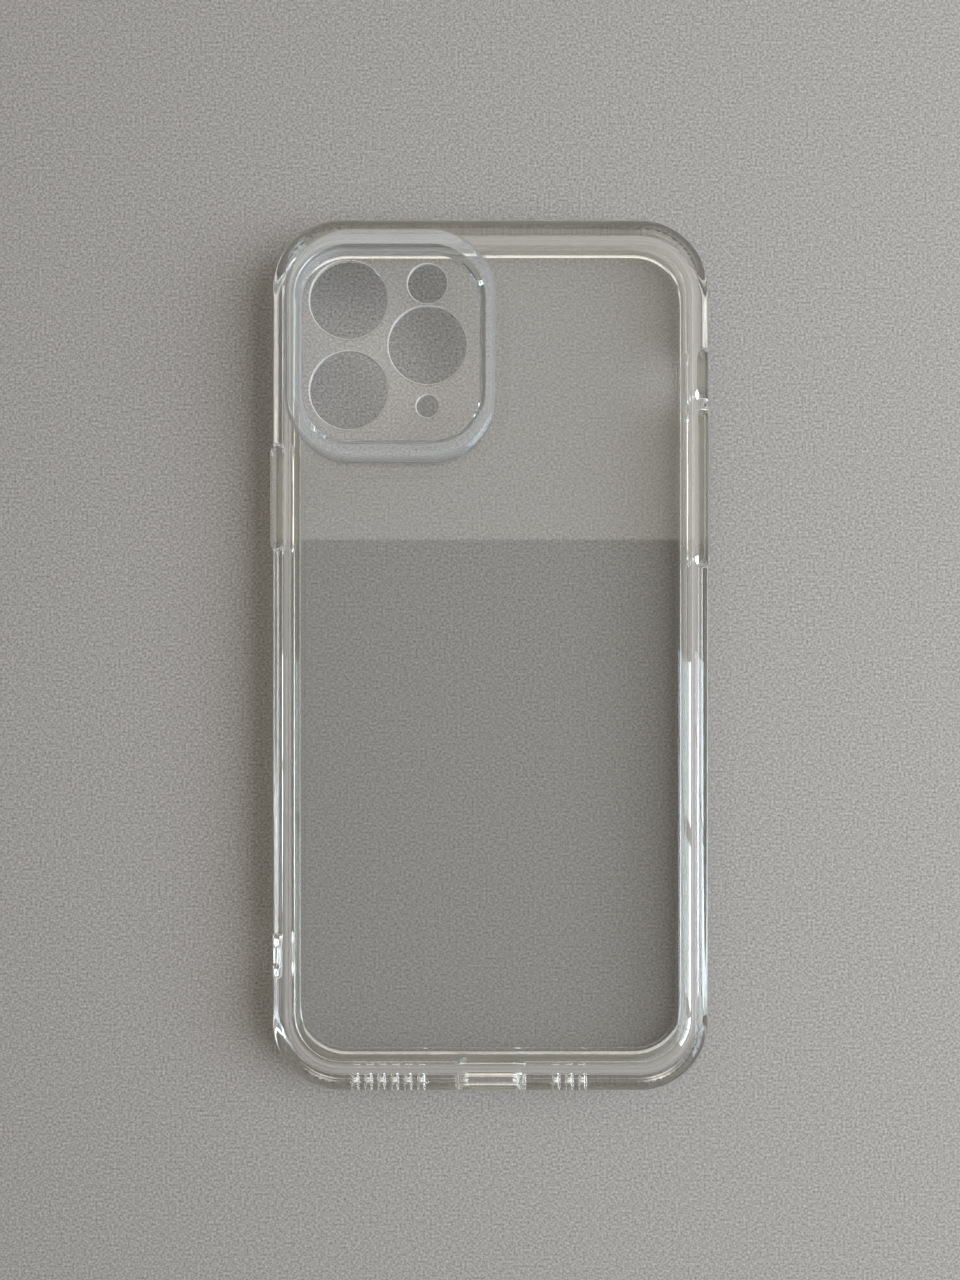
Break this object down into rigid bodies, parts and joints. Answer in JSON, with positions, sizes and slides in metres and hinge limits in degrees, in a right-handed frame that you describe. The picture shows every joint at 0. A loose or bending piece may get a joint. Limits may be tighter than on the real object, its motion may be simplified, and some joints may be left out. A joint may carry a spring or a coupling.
{
  "type": "phone case",
  "caption": "Clear bumper case for a slim phone: hard back sheet, soft frame with front lip, raised camera guard, lens cover, side buttons and port openings.",
  "frame": {"origin": "centre of the case's outline, on the plane of the front lip that it rests on", "axes": "+Z out of the back, +Y towards the camera end, +X towards the side with the volume bar and the mute slot"},
  "size_m": [0.0762, 0.1486, 0.0127],
  "materials": {
    "hard_clear": "crystal clear, polished",
    "soft_clear": "clear, soft, glossy, with a faint warm tint"
  },
  "bodies": {
    "case_shell": {"bumper_frame": "soft_clear", "back_panel": "hard_clear", "camera_guard": "hard_clear", "lens_cover": "hard_clear", "power_button_web": "soft_clear", "volume_rocker_web": "soft_clear"},
    "power_button": {"power_button": "soft_clear"},
    "volume_rocker": {"volume_rocker": "soft_clear"}
  },
  "joints": [
    {"name": "power_button_press", "type": "slide", "parent": "case_shell", "child": "power_button", "axis": [1, 0, 0], "range_m": [0, 0.0004], "stiffness_N_per_m": 1500, "deforming": ["power_button_web"]},
    {"name": "volume_rocker_tilt", "type": "hinge", "parent": "case_shell", "child": "volume_rocker", "pos_m": [0.0368, 0.02895, 0.00485], "axis": [0, 0, 1], "range_deg": [-2, 2], "stiffness_Nm_per_rad": 0.15, "deforming": ["volume_rocker_web"]}
  ]
}
